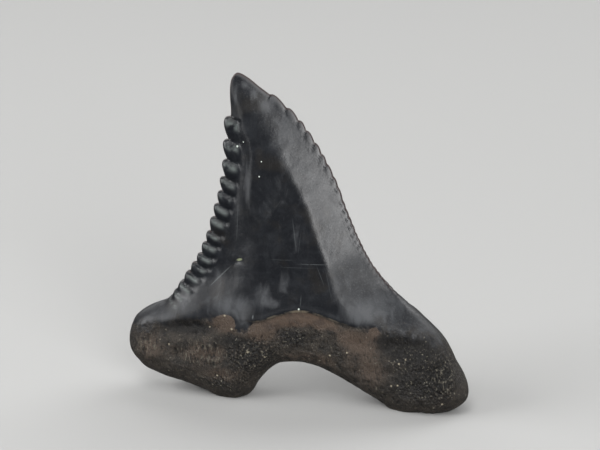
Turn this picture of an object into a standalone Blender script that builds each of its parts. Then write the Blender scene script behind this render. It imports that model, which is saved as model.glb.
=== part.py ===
import bmesh
import bpy
import numpy as np

MM = 0.001

# Front outline in mm, x to the right and z up from the floor. A rung joins a point of the left edge to the
# same point of the right edge: the first rung holds the root's outer corners and the last one is the tip.
LEFT_EDGE = [
    (-15.75, 2.75), (-16.5, 3.7), (-16.75, 4.9), (-16.5, 6.3), (-15.9, 7.4), (-14.6, 8.3), (-12.85, 9.1),
    (-11.85, 10.2), (-10.5, 11.95), (-9.35, 13.9), (-8.45, 16.3), (-7.65, 19.05), (-7.05, 21.7),
    (-6.85, 24.05), (-6.72, 26.2), (-6.6, 27.95), (-6.7, 29.4), (-6.7, 30.5), (-6.5, 31.3), (-5.95, 31.75),
]
RIGHT_EDGE = [
    (16.45, 1.2), (16.5, 2.2), (16.05, 3.5), (15.35, 4.7), (14.7, 6.0), (13.75, 7.4), (11.85, 9.15),
    (9.9, 10.75), (8.3, 12.5), (7.0, 14.2), (5.85, 16.3), (4.65, 19.05), (3.6, 21.7),
    (2.35, 24.05), (0.93, 26.2), (-0.6, 28.0), (-2.28, 29.4), (-3.85, 30.5), (-4.95, 31.3), (-5.95, 31.75),
]
ROOT_EDGE = [
    (-15.75, 2.75), (-14.7, 1.95), (-13.0, 1.3), (-11.4, 0.9), (-10.0, 0.5), (-8.7, 0.0), (-7.0, -0.65),
    (-5.5, -0.5), (-4.5, 0.3), (-3.9, 1.35), (-2.9, 2.6), (-1.8, 3.45), (-0.35, 3.75), (1.2, 3.65),
    (3.0, 3.1), (5.3, 1.95), (7.6, 0.7), (9.5, -0.45), (11.2, -0.75), (13.0, -0.65), (14.5, -0.25),
    (15.7, 0.4), (16.45, 1.2),
]
STEPS_BETWEEN_POINTS = 16
ROOT_RUNGS = 7
BEND_RUNGS = 9
BEND_FADE = 1.5
DIRECTION_REACH = 0.3
# Middle of the width and of the depth, which the origin is put under.
MIDDLE_X = -0.1
MIDDLE_Y = 1.76

# Grid of one face, and the share of its triangles that is kept once the flat stretches are thinned out.
ROWS = 230
COLUMNS = 84
ROOT_ROW_SHARE = 0.3
ROOT_ROW_CROWDING = 1.35
EDGE_CROWDING = 0.55
KEPT_SHARE = 0.128
WELD = 0.00005
THINNEST = 0.12

# Hooked denticles of the left edge, from the top one down: length along the edge and reach outwards.
DENTICLE_LENGTHS = [2.2, 1.95, 1.76, 1.39, 1.36, 1.36, 1.5, 1.23, 1.28, 1.14, 1.12, 1.22, 1.03, 0.85, 0.78]
DENTICLE_REACHES = [0.6, 0.55, 0.5, 0.54, 0.46, 0.5, 0.48, 0.42, 0.45, 0.45, 0.47, 0.45, 0.32, 0.18, 0.1]
DENTICLES_TOP_Z = 27.5
DENTICLE_LIFT = 0.5
DENTICLE_ROOT = 0.6
HOOK_FULL_AT = 0.34
HOOK_FALL = 1.7
SERRATIONS_END = (-0.6, 1.0)
SERRATIONS_START = (-0.12, 0.2)
# Ribs that run inwards from the denticles over a thin blade, and the step from the blade up to the middle.
RIB_HEIGHT = 0.62
RIB_DEPTH = 0.36
RIB_LENGTH = 1.65
RIB_FADE = 0.65
RIB_SLOPE_TOP = 0.16
RIB_SLOPE_LOW = -0.34
RIB_SLOPE_FROM = 6.0
RIB_SLOPE_TO = 18.0
RIB_SKEW = 0.85
BLADE_ROUND = 0.4
BLADE_STEP = 1.15
BLADE_STEP_FROM = 1.25
BLADE_STEP_TO_LOW = 6.2
BLADE_STEP_TO_HIGH = 3.4
BLADE_STEP_TURN = (15.0, 20.5)
BLADE_RISE = 0.1
MARGIN_START = -0.5
MARGIN_FADE = 3.5
MARGIN_BLEND = (0.5, 1.4)

# Fine scallops of the right edge, from the top one down; the last ones are all alike.
SCALLOP_LENGTHS = [2.0, 1.62, 1.15, 1.4, 1.25, 1.0, 1.4, 1.1, 1.4, 0.8, 0.8, 0.8, 0.8] + 14 * [0.62]
SCALLOPS_TOP_Z = 29.8
SCALLOP_REACH_TOP = 0.26
SCALLOP_REACH_LOW = 0.08
SCALLOP_LIFT = 0.3
SCALLOP_ROOT = 0.45
SCALLOP_FULL_LENGTH = 1.0
SCALLOP_SPAN = 14.0
SCALLOP_GROOVE = 0.14
SCALLOP_GROOVE_LENGTH = 0.75
SCALLOP_GROOVE_SLOPE = 0.5
SCALLOP_GROOVE_ENDS = (0.3, 0.15)

# Front of the crown: a flat middle that meets the right flank in a crease. Pairs of z and height.
FRONT_MIDDLE = [
    (6.0, 2.75), (8.5, 2.6), (10.0, 2.37), (12.0, 2.08), (16.0, 1.76), (21.0, 1.55), (25.3, 1.33),
    (27.0, 1.1), (28.65, 0.83), (30.2, 0.5), (31.9, 0.17),
]
MIDDLE_TILT = 0.035
MIDDLE_TILT_X = -2.0
LEFT_FACET_SLOPE = 0.62
RIGHT_FLANK_SLOPE_TOP = 0.4
RIGHT_FLANK_SLOPE_LOW = 0.575
FLANK_SLOPE_TOP_Z = 26.0
FLANK_SLOPE_LOW_Z = 15.0
EDGE_BLUNTNESS = 0.13
RIDGE_SOFTNESS = 0.16
CREASE_SOFTNESS = 0.22
# Back of the crown, swollen between its edges. Pairs of z and height.
BACK_MIDDLE = [
    (6.0, 3.8), (9.0, 3.7), (12.0, 3.3), (16.0, 2.75), (21.0, 2.3), (25.3, 1.9),
    (27.0, 1.6), (28.65, 1.25), (30.2, 0.8), (31.9, 0.22),
]
BACK_ROUND = 4.6
BACK_FULLNESS = 0.85
BACK_BLADE = 0.3
BACK_RIB_DEPTH = 0.2
BACK_BLADE_LENGTH = 1.6
CROWN_LEAN = 1.0
LEAN_FROM_Z = 10.0
LEAN_TO_Z = 31.75

# Root. Swellings and hollows are x, z, half width, half height and rise.
ROOT_HEIGHT = 2.75
ROOT_ROUND = 3.0
ROOT_SWELLINGS = [(-10.0, 4.5, 5.0, 3.5, 0.25), (12.0, 4.5, 4.0, 4.0, 0.2), (-0.5, 6.0, 4.5, 4.0, -0.25)]
RIGHT_LOBE_HOLLOW = [(11.2, 6.9, 2.3, 0.9, 0.55)]
HOLLOW_FROM = (-0.3, 1.1)
ROOT_BACK_HEIGHT = 4.0
ROOT_BACK_ROUND = 3.8
ROOT_BOSS = [(0.8, 8.2, 7.5, 3.3, 2.5), (1.1, 6.9, 0.6, 2.0, -0.8)]
FRONT_BLEND_Z = (8.3, 12.8)
BACK_BLEND_Z = (8.5, 13.5)
LOBE_BLEND_DROP = 0.04
# Line on the front face where the enamel ends and the bare root starts: x, z.
ENAMEL_LINE = [
    (-17.5, 6.4), (-15.2, 6.9), (-12.5, 7.6), (-8.0, 8.5), (-5.2, 8.6), (-3.7, 8.8), (-1.1, 9.85),
    (1.1, 10.2), (3.4, 9.95), (4.7, 9.4), (7.8, 8.8), (11.2, 8.3), (13.0, 7.6), (17.5, 6.6),
]
BARE_FROM = (-0.05, 0.25)
BACK_BARE_Z = (11.0, 12.0)
# Lip along the arch and fold under the left enamel; fades are how far each takes to come in and go out.
LIP_HEIGHT = 0.13
LIP_RISE = 0.1
LIP_HALF_WIDTH = 0.28
LIP_X = (-5.5, 8.0)
LIP_FADES = (2.5, 3.5)
FOLD_DEPTH = 0.42
FOLD_DROP = 0.9
FOLD_HALF_WIDTH = 0.75
FOLD_X = (-15.5, -6.5)
FOLD_FADES = (2.5, 3.0)
RELIEF_TOP_FADE = 2.0
RELIEF_EDGE = (0.2, 1.4)
SMOOTH_BAND = (0.8, 1.9)
SMOOTH_BAND_X = 0.5
SMOOTH_BAND_HALF_LENGTH = 5.5
LUMP_EDGE = 0.9
# Lumps of the bare root: size, height and seed of each layer.
FRONT_LUMPS = [(2.6, 0.075, 3), (1.3, 0.035, 5)]
BACK_LUMPS = [(2.6, 0.09, 11), (1.3, 0.04, 12)]
LUMP_SINK = 0.07
WAVES_IN_LUMPS = 26
WAVE_RATES = (0.6, 1.5)

# Cutter that wears the two lobes flat.
FLOOR_SIZE = (60.0, 40.0, 10.0)

FOSSIL_COLOUR = (0.028, 0.027, 0.026, 1.0)
FOSSIL_ROUGHNESS = 0.36


def smooth_line(points, before, after):
    """Cubic through the points; the ghost points before and after set the direction of its two ends."""
    line = np.array([before, *points, after], float)
    t = np.linspace(0.0, 1.0, STEPS_BETWEEN_POINTS, endpoint=False)[:, None]
    pieces = []
    for a, b, c, d in zip(line, line[1:], line[2:], line[3:]):
        leaving = (c - a) / 2
        arriving = (d - b) / 2
        cubic = 2 * b - 2 * c + leaving + arriving
        square = 3 * (c - b) - 2 * leaving - arriving
        pieces.append(((cubic * t + square) * t + leaving) * t + b)
    pieces.append(line[-2][None])
    return np.concatenate(pieces)


def smooth_values(where, table):
    """Value at each place, joined smoothly between the pairs of the table."""
    xs, ys = np.array(table, float).T
    slopes = np.gradient(ys, xs)
    where = np.clip(where, xs[0], xs[-1])
    i = np.clip(np.searchsorted(xs, where) - 1, 0, len(xs) - 2)
    step = xs[i + 1] - xs[i]
    t = (where - xs[i]) / step
    level = (1 + 2 * t) * (1 - t) ** 2 * ys[i] + t**2 * (3 - 2 * t) * ys[i + 1]
    return level + step * (t * (1 - t) ** 2 * slopes[i] - t**2 * (1 - t) * slopes[i + 1])


def ease(value, start, end):
    """0 before the start, 1 after the end and smooth between."""
    t = np.clip((value - start) / (end - start), 0.0, 1.0)
    return t * t * (3 - 2 * t)


def between(value, ends, fades):
    """1 between the two ends, falling to 0 at each of them over its own fade."""
    start, end = ends
    fade_in, fade_out = fades
    return ease(value, start, start + fade_in) * (1 - ease(value, end - fade_out, end))


def round_off(distance, radius):
    """0 at an edge rising to 1 at the radius, as a quarter of a circle."""
    t = np.clip(distance / radius, 0.0, 1.0)
    return np.sqrt(np.clip(1 - (1 - t) ** 2, 0.0, 1.0))


def soft_min(a, b, width):
    h = np.clip(0.5 + 0.5 * (b - a) / width, 0.0, 1.0)
    return b + (a - b) * h - width * h * (1 - h)


def blend(a, b, share):
    return a + (b - a) * share


def hills(x, z, table):
    total = np.zeros_like(x)
    for middle_x, middle_z, half_width, half_height, rise in table:
        total += rise * np.exp(-(((x - middle_x) / half_width) ** 2) - ((z - middle_z) / half_height) ** 2)
    return total


def lumps(x, z, layers):
    """Uneven surface from layers of crossing waves; each layer has its size, height and seed."""
    total = np.zeros_like(x)
    for size, height, seed in layers:
        rng = np.random.RandomState(seed)
        for _ in range(WAVES_IN_LUMPS):
            turn = rng.uniform(0, 2 * np.pi)
            rate = 2 * np.pi / size * rng.uniform(*WAVE_RATES)
            start = rng.uniform(0, 2 * np.pi)
            wave = np.cos(rate * (x * np.cos(turn) + z * np.sin(turn)) + start)
            total += height * wave * (1 / WAVES_IN_LUMPS) ** 0.5
    return total


def lengths_along(line):
    steps = np.linalg.norm(np.diff(line, axis=0), axis=1)
    return np.concatenate([[0.0], np.cumsum(steps)])


def nearest(points, line):
    """Distance of each point to the line, and how far along the line its foot lies."""
    starts = line[:-1]
    spans = np.diff(line, axis=0)
    squares = (spans**2).sum(axis=1)
    lengths = lengths_along(line)
    distance = np.empty(len(points))
    place = np.empty(len(points))
    for n, point in enumerate(points):
        t = np.clip(((point - starts) * spans).sum(axis=1) / squares, 0.0, 1.0)
        gaps = ((starts + spans * t[:, None] - point) ** 2).sum(axis=1)
        k = int(gaps.argmin())
        distance[n] = gaps[k] ** 0.5
        place[n] = lengths[k] + t[k] * (lengths[k + 1] - lengths[k])
    return distance, place


def points_on(line, where, scale):
    """Points of the line at these values of the scale that is given for its points."""
    return np.stack([np.interp(where, scale, line[:, 0]), np.interp(where, scale, line[:, 1])], axis=1)


def direction_at(line, place):
    """Unit vector along the line at each place."""
    lengths = lengths_along(line)
    before = points_on(line, place - DIRECTION_REACH, lengths)
    run = points_on(line, place + DIRECTION_REACH, lengths) - before
    return run / np.linalg.norm(run, axis=1)[:, None]


def teeth_of_edge(place, top, lengths):
    """How far down its own small tooth each place lies, 0 to 1, and which tooth from the top it is."""
    starts = np.concatenate([[0.0], np.cumsum(lengths)])
    down = top - place
    number = np.clip(np.searchsorted(starts, down, side="right") - 1, 0, len(lengths) - 1)
    share = (down - starts[number]) / np.array(lengths)[number]
    return np.clip(share, 0.0, 1.0), number


def hook(share):
    """Outline of a small tooth: steep at its upper end, full a third of the way down, then gently in."""
    rise = round_off(share, HOOK_FULL_AT)
    fall = 1 - np.clip((share - HOOK_FULL_AT) / (1 - HOOK_FULL_AT), 0.0, 1.0) ** HOOK_FALL
    return rise * fall


def edges_of_outline():
    left = smooth_line(LEFT_EDGE, ROOT_EDGE[1], RIGHT_EDGE[-2])
    right = smooth_line(RIGHT_EDGE, ROOT_EDGE[-2], LEFT_EDGE[-2])
    root = smooth_line(ROOT_EDGE, LEFT_EDGE[1], RIGHT_EDGE[1])
    return left, right, root


def flat_layout(u, v, left, right, root):
    """Place of each grid point inside the outline: along its rung, bent round the arch low down."""
    low = (v / ROOT_ROW_SHARE) ** ROOT_ROW_CROWDING * ROOT_RUNGS
    high_rungs = len(LEFT_EDGE) - 1 - ROOT_RUNGS
    high = ROOT_RUNGS + (v - ROOT_ROW_SHARE) / (1 - ROOT_ROW_SHARE) * high_rungs
    rung = np.where(v < ROOT_ROW_SHARE, low, high)
    across = blend(u, (1 - np.cos(np.pi * u)) / 2, EDGE_CROWDING)
    share = across[:, None]
    rung_scale = np.arange(len(left)) / STEPS_BETWEEN_POINTS
    straight = blend(points_on(left, rung, rung_scale), points_on(right, rung, rung_scale), share)
    lengths = lengths_along(root)
    bottom = points_on(root, across * lengths[-1], lengths)
    bend = bottom - blend(root[0], root[-1], share)
    fade = (1 - ease(rung, 0.0, BEND_RUNGS)) ** BEND_FADE
    return straight + bend * fade[:, None]


class Field:
    """What every grid point knows about its own place on the tooth."""

    def __init__(self, points, left, right, root):
        self.x, self.z = points.T
        self.to_left, left_place = nearest(points, left)
        self.to_right, right_place = nearest(points, right)
        to_root, _ = nearest(points, root)
        self.to_edge = np.minimum(np.minimum(self.to_left, self.to_right), to_root)
        self.up_left = direction_at(left, left_place)
        self.up_right = direction_at(right, right_place)
        self.add_denticles(left, left_place)
        self.add_scallops(right, right_place)
        self.below = smooth_values(self.x, ENAMEL_LINE) - self.z
        self.bare = ease(self.below, *BARE_FROM)

    def add_denticles(self, left, place):
        top = np.interp(DENTICLES_TOP_Z, left[:, 1], lengths_along(left))
        bottom = top - sum(DENTICLE_LENGTHS)
        share, number = teeth_of_edge(place, top, DENTICLE_LENGTHS)
        inside = (place <= top) & (place >= bottom)
        self.denticle = hook(share) * np.array(DENTICLE_REACHES)[number] * inside
        slope = blend(RIB_SLOPE_TOP, RIB_SLOPE_LOW, ease(top - place, RIB_SLOPE_FROM, RIB_SLOPE_TO))
        share, _ = teeth_of_edge(place + slope * self.to_left, top, DENTICLE_LENGTHS)
        self.rib = np.sin(np.pi * share**RIB_SKEW)
        ends = ease(place - bottom, *SERRATIONS_END)
        self.serrated = ease(top - place, *SERRATIONS_START) * ends
        self.margin = ease(top - place, MARGIN_START, MARGIN_FADE) * ends

    def add_scallops(self, right, place):
        top = np.interp(SCALLOPS_TOP_Z, right[:, 1], lengths_along(right))
        bottom = top - sum(SCALLOP_LENGTHS)
        share, _ = teeth_of_edge(place, top, SCALLOP_LENGTHS)
        low = ease(top - place, SCALLOP_FULL_LENGTH, SCALLOP_SPAN)
        reach = blend(SCALLOP_REACH_TOP, SCALLOP_REACH_LOW, low)
        inside = (place <= top) & (place >= bottom)
        self.scallop = hook(share) * reach * inside
        share, _ = teeth_of_edge(place + SCALLOP_GROOVE_SLOPE * self.to_right, top, SCALLOP_LENGTHS)
        start, end = SCALLOP_GROOVE_ENDS
        self.groove = (1 - round_off(share, start) * round_off(1 - share, end)) * inside


def ribbed_margin(field):
    """Thin blade along the left edge with a rib behind each denticle, then the step up to the middle."""
    fade = 1 - ease(field.to_left, RIB_LENGTH - RIB_FADE, RIB_LENGTH)
    blade = round_off(field.to_left, BLADE_ROUND) * (RIB_HEIGHT - RIB_DEPTH * (1 - field.rib) * fade)
    step_to = blend(BLADE_STEP_TO_LOW, BLADE_STEP_TO_HIGH, ease(field.z, *BLADE_STEP_TURN))
    step = BLADE_STEP * ease(field.to_left, BLADE_STEP_FROM, step_to)
    return blade + step + BLADE_RISE * np.maximum(field.to_left - step_to, 0.0)


def right_flank(field):
    blunt = round_off(field.to_right, EDGE_BLUNTNESS)
    low = ease(FLANK_SLOPE_TOP_Z - field.z, 0.0, FLANK_SLOPE_TOP_Z - FLANK_SLOPE_LOW_Z)
    slope = blend(RIGHT_FLANK_SLOPE_TOP, RIGHT_FLANK_SLOPE_LOW, low)
    fade = 1 - ease(field.to_right, SCALLOP_GROOVE_LENGTH / 3, SCALLOP_GROOVE_LENGTH)
    groove = SCALLOP_GROOVE * field.groove * fade * blunt
    return EDGE_BLUNTNESS * blunt + slope * field.to_right - groove


def front_of_crown(field):
    middle = smooth_values(field.z, FRONT_MIDDLE) + MIDDLE_TILT * (field.x - MIDDLE_TILT_X)
    facet = EDGE_BLUNTNESS * round_off(field.to_left, EDGE_BLUNTNESS) + LEFT_FACET_SLOPE * field.to_left
    ribbed = blend(field.serrated, field.margin, ease(field.to_left, *MARGIN_BLEND))
    left_side = blend(facet, ribbed_margin(field), ribbed)
    return soft_min(soft_min(left_side, right_flank(field), RIDGE_SOFTNESS), middle, CREASE_SOFTNESS)


def front_of_root(field):
    height = ROOT_HEIGHT + hills(field.x, field.z, ROOT_SWELLINGS)
    return height * round_off(field.to_edge, ROOT_ROUND)


def root_relief(field):
    """Lip along the arch, fold and hollow under the enamel, and the uneven bare root."""
    lip = LIP_HEIGHT * np.exp(-(((field.below + LIP_RISE) / LIP_HALF_WIDTH) ** 2))
    lip *= between(field.x, LIP_X, LIP_FADES)
    fold = FOLD_DEPTH * np.exp(-(((field.below - FOLD_DROP) / FOLD_HALF_WIDTH) ** 2))
    fold *= between(field.x, FOLD_X, FOLD_FADES)
    hollow = hills(field.x, field.z, RIGHT_LOBE_HOLLOW) * ease(field.below, *HOLLOW_FROM)
    near_middle = np.exp(-(((field.x - SMOOTH_BAND_X) / SMOOTH_BAND_HALF_LENGTH) ** 2))
    smooth = (1 - ease(field.below, *SMOOTH_BAND)) * near_middle
    uneven = (lumps(field.x, field.z, FRONT_LUMPS) - LUMP_SINK) * field.bare * (1 - smooth)
    inner = ease(field.to_edge, *RELIEF_EDGE)
    return (lip - fold - hollow) * inner + uneven * round_off(field.to_edge, LUMP_EDGE)


def front_height(field):
    low = 1 - ease(field.z + LOBE_BLEND_DROP * np.abs(field.x), *FRONT_BLEND_Z)
    height = blend(front_of_crown(field), front_of_root(field), low)
    height += root_relief(field) * ease(FRONT_BLEND_Z[1] - field.z, 0.0, RELIEF_TOP_FADE)
    return np.maximum(height, THINNEST * round_off(field.to_edge, BLADE_ROUND))


def back_height(field):
    near = soft_min(field.to_left, field.to_right, BLADE_ROUND)
    blade = BACK_BLADE - BACK_RIB_DEPTH * (1 - field.rib) * field.serrated
    blade *= round_off(near, BLADE_ROUND) * (1 - ease(near, BLADE_ROUND, BACK_BLADE_LENGTH))
    swell = round_off(near, BACK_ROUND) ** (2 * BACK_FULLNESS)
    crown = blade + smooth_values(field.z, BACK_MIDDLE) * swell
    height = ROOT_BACK_HEIGHT + hills(field.x, field.z, ROOT_BOSS)
    root = height * round_off(field.to_edge, ROOT_BACK_ROUND)
    bare = 1 - ease(field.z, *BACK_BARE_Z)
    uneven = lumps(field.x, field.z, BACK_LUMPS) * bare * round_off(field.to_edge, LUMP_EDGE)
    height = blend(root, crown, ease(field.z, *BACK_BLEND_Z)) + uneven
    return np.maximum(height, THINNEST * round_off(field.to_edge, BLADE_ROUND))


def lean(z):
    """How far the crown bends back at each height."""
    return CROWN_LEAN * (np.maximum(z - LEAN_FROM_Z, 0.0) / (LEAN_TO_Z - LEAN_FROM_Z)) ** 2


def serrated_outline(points, field):
    """Moves both edges out into their small teeth, and the surface beside them a little with them."""
    out_left = field.up_left[:, ::-1] * (-1, 1)
    out_right = field.up_right[:, ::-1] * (1, -1)
    left_pull = field.denticle * np.exp(-((field.to_left / DENTICLE_ROOT) ** 2))
    right_pull = field.scallop * np.exp(-((field.to_right / SCALLOP_ROOT) ** 2))
    moved = points + left_pull[:, None] * (out_left + DENTICLE_LIFT * field.up_left)
    return moved + right_pull[:, None] * (out_right + SCALLOP_LIFT * field.up_right)


def make_face(edges, front):
    """One face of the tooth: a grid laid inside the outline and bent to its height."""
    face = bmesh.new()
    bmesh.ops.create_grid(face, x_segments=COLUMNS, y_segments=ROWS, size=0.5)
    u, v = np.array([vert.co[:2] for vert in face.verts]).T + 0.5
    points = flat_layout(u, v, *edges)
    field = Field(points, *edges)
    rim = (np.minimum(u, v) < WELD) | (np.maximum(u, v) > 1 - WELD)
    height = -front_height(field) if front else back_height(field)
    depth = np.where(rim, 0.0, height) + lean(field.z) - MIDDLE_Y
    for vert, (x, z), y in zip(face.verts, serrated_outline(points, field), depth):
        vert.co = ((x - MIDDLE_X) * MM, y * MM, z * MM)
    return face


def make_tooth_mesh():
    edges = edges_of_outline()
    mesh = bpy.data.meshes.new("tooth")
    whole = bmesh.new()
    for front in (True, False):
        face = make_face(edges, front)
        face.to_mesh(mesh)
        face.free()
        whole.from_mesh(mesh)
    bmesh.ops.remove_doubles(whole, verts=whole.verts, dist=WELD * MM)
    bmesh.ops.recalc_face_normals(whole, faces=whole.faces)
    whole.to_mesh(mesh)
    whole.free()
    mesh.shade_smooth()
    return mesh


def fossil_material():
    material = bpy.data.materials.new("fossil tooth")
    material.use_nodes = True
    shader = material.node_tree.nodes["Principled BSDF"]
    shader.inputs["Base Color"].default_value = FOSSIL_COLOUR
    shader.inputs["Roughness"].default_value = FOSSIL_ROUGHNESS
    shader.inputs["Metallic"].default_value = 0.0
    return material


def make_collection(name):
    collection = bpy.data.collections.new(name)
    bpy.context.scene.collection.children.link(collection)
    return collection


def make_floor(cutters):
    """Block with its top at z = 0, which wears a small flat under each lobe of the root."""
    block = bmesh.new()
    bmesh.ops.create_cube(block, size=1.0)
    bmesh.ops.scale(block, vec=[side * MM for side in FLOOR_SIZE], verts=block.verts)
    bmesh.ops.translate(block, vec=(0.0, 0.0, -FLOOR_SIZE[2] / 2 * MM), verts=block.verts)
    mesh = bpy.data.meshes.new("floor")
    block.to_mesh(mesh)
    block.free()
    floor = bpy.data.objects.new("floor", mesh)
    cutters.objects.link(floor)
    floor.hide_render = True
    floor.display_type = "WIRE"
    return floor


def make_tooth(part, floor):
    tooth = bpy.data.objects.new("tooth", make_tooth_mesh())
    part.objects.link(tooth)
    tooth.data.materials.append(fossil_material())
    thinned = tooth.modifiers.new("thinned", "DECIMATE")
    thinned.ratio = KEPT_SHARE
    worn = tooth.modifiers.new("worn flats", "BOOLEAN")
    worn.operation = "DIFFERENCE"
    worn.solver = "EXACT"
    worn.object = floor
    return tooth


def main():
    for thing in list(bpy.data.objects):
        bpy.data.objects.remove(thing)
    part = make_collection("snaggletooth shark tooth")
    cutters = make_collection("cutters")
    make_tooth(part, make_floor(cutters))


main()
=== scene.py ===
import math

import bmesh
import bpy
import numpy as np
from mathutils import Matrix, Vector


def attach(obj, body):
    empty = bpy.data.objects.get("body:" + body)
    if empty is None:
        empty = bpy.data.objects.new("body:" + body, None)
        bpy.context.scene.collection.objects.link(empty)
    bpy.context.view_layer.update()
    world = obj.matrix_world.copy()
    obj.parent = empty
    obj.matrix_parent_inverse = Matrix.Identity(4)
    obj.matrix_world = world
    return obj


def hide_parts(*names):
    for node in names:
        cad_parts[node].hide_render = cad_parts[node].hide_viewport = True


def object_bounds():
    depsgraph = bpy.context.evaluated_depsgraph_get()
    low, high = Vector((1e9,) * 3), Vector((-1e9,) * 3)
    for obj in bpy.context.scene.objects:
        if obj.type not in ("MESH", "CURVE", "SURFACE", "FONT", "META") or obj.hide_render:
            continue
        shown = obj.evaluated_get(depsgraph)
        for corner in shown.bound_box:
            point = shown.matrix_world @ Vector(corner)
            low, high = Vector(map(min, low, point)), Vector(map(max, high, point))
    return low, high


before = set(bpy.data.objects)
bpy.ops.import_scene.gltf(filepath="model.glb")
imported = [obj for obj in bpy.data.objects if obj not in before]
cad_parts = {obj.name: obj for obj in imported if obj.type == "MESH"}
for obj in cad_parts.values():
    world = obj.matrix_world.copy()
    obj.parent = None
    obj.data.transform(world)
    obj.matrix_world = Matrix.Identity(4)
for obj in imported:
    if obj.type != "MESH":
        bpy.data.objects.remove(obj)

# Fossil snaggletooth shark tooth: black glossy enamel over a brown, pitted root. It stands on its two lobes
# with the outer face to -Y. Shape numbers are in millimetres and turned to metres when the mesh is made.

packedLow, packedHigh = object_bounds()
mm = 0.001
print("packed tooth loaded")

# Front outline, x to the right and z up. A rung joins a left point to the right point of the same number:
# the first rung holds the root's outer corners and the last one is the tip.
outline = {
    "left": [
        (-15.75, 2.75), (-16.5, 3.7), (-16.75, 4.9), (-16.5, 6.3), (-15.9, 7.4), (-14.6, 8.3), (-12.85, 9.1),
        (-11.85, 10.2), (-10.5, 11.95), (-9.35, 13.9), (-8.45, 16.3), (-7.65, 19.05), (-7.05, 21.7),
        (-6.85, 24.05), (-6.72, 26.2), (-6.6, 27.95), (-6.7, 29.4), (-6.7, 30.5), (-6.5, 31.3),
        (-5.95, 31.75),
    ],
    "right": [
        (16.45, 1.2), (16.5, 2.2), (16.05, 3.5), (15.35, 4.7), (14.7, 6.0), (13.75, 7.4), (11.85, 9.15),
        (9.9, 10.75), (8.3, 12.5), (7.0, 14.2), (5.85, 16.3), (4.65, 19.05), (3.6, 21.7),
        (2.35, 24.05), (0.93, 26.2), (-0.6, 28.0), (-2.28, 29.4), (-3.85, 30.5), (-4.95, 31.3),
        (-5.95, 31.75),
    ],
    "root": [
        (-15.75, 2.75), (-14.7, 1.95), (-13.0, 1.3), (-11.4, 0.9), (-10.0, 0.5), (-8.7, 0.0), (-7.0, -0.65),
        (-5.5, -0.5), (-4.5, 0.3), (-3.9, 1.35), (-2.9, 2.6), (-1.8, 3.45), (-0.35, 3.75), (1.2, 3.65),
        (3.0, 3.1), (5.3, 1.95), (7.6, 0.7), (9.5, -0.45), (11.2, -0.75), (13.0, -0.65), (14.5, -0.25),
        (15.7, 0.4), (16.45, 1.2),
    ],
    "steps": 16,
    "rootRungs": 7,
    "bendRungs": 9,
    "bendFall": 1.5,
    "middle": (-0.1, 1.76),  # x and depth that the origin stands under
    "rows": 250,
    "columns": 196,
    "rootRowShare": 0.3,
    "rootRowCrowding": 1.35,
    "edgeCrowding": 0.55,
    "thinnest": 0.12,
    "mergeDistance": 1e-8,  # metres
}


def smoothLine(points, before, after):
    # cubic through the points, with one ghost point at each end to set its direction there
    line = np.array([before, *points, after], float)
    t = np.linspace(0, 1, outline["steps"], endpoint=False)[:, None]
    runs = []
    for a, b, c, d in zip(line, line[1:], line[2:], line[3:]):
        leaving, arriving = (c - a) / 2, (d - b) / 2
        cubic = 2 * b - 2 * c + leaving + arriving
        square = 3 * (c - b) - 2 * leaving - arriving
        runs.append(((cubic * t + square) * t + leaving) * t + b)
    return np.concatenate([*runs, line[-2][None]])


def smoothValues(where, pairs):
    xs, ys = np.array(pairs, float).T
    slopes = np.gradient(ys, xs)
    where = np.clip(where, xs[0], xs[-1])
    i = np.clip(np.searchsorted(xs, where) - 1, 0, len(xs) - 2)
    step = xs[i + 1] - xs[i]
    t = (where - xs[i]) / step
    level = (1 + 2 * t) * (1 - t) ** 2 * ys[i] + t**2 * (3 - 2 * t) * ys[i + 1]
    return level + step * (t * (1 - t) ** 2 * slopes[i] - t**2 * (1 - t) * slopes[i + 1])


def ease(value, start, end):
    t = np.clip((value - start) / (end - start), 0, 1)
    return t * t * (3 - 2 * t)


def roundOff(distance, radius):
    # quarter of a circle from 0 at an edge to 1 at the radius
    t = np.clip(distance / radius, 0, 1)
    return np.sqrt(np.clip(1 - (1 - t) ** 2, 0, 1))


def softMin(a, b, width):
    h = np.clip(0.5 + 0.5 * (b - a) / width, 0, 1)
    return b + (a - b) * h - width * h * (1 - h)


def blend(a, b, share):
    return a + (b - a) * share


def hills(x, z, swellings):
    # each swelling is x, z, half width, half height and rise
    total = np.zeros_like(x)
    for atX, atZ, halfWidth, halfHeight, rise in swellings:
        total += rise * np.exp(-(((x - atX) / halfWidth) ** 2) - ((z - atZ) / halfHeight) ** 2)
    return total


def lumps(x, z, layers, waves=26, rates=(0.6, 1.5)):
    # crossing waves; each layer is size, height and seed
    total = np.zeros_like(x)
    for size, height, seed in layers:
        rng = np.random.RandomState(seed)
        for _ in range(waves):
            turn = rng.uniform(0, 2 * np.pi)
            rate = 2 * np.pi / size * rng.uniform(*rates)
            start = rng.uniform(0, 2 * np.pi)
            total += height / waves**0.5 * np.cos(rate * (x * np.cos(turn) + z * np.sin(turn)) + start)
    return total


def lengthsAlong(line):
    return np.concatenate([[0], np.cumsum(np.linalg.norm(np.diff(line, axis=0), axis=1))])


def nearest(points, line, batch=3000):
    # distance to the line, and how far along the line the foot of it lies
    starts, spans = line[:-1], np.diff(line, axis=0)
    squares, lengths = (spans**2).sum(axis=1), lengthsAlong(line)
    distances, places = [], []
    for first in range(0, len(points), batch):
        out = points[first:first + batch, None] - starts
        t = np.clip((out * spans).sum(axis=2) / squares, 0, 1)
        gaps = ((out - spans * t[..., None]) ** 2).sum(axis=2)
        k = gaps.argmin(axis=1)
        row = np.arange(len(k))
        distances.append(gaps[row, k] ** 0.5)
        places.append(lengths[k] + t[row, k] * (lengths[k + 1] - lengths[k]))
    return np.concatenate(distances), np.concatenate(places)


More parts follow.
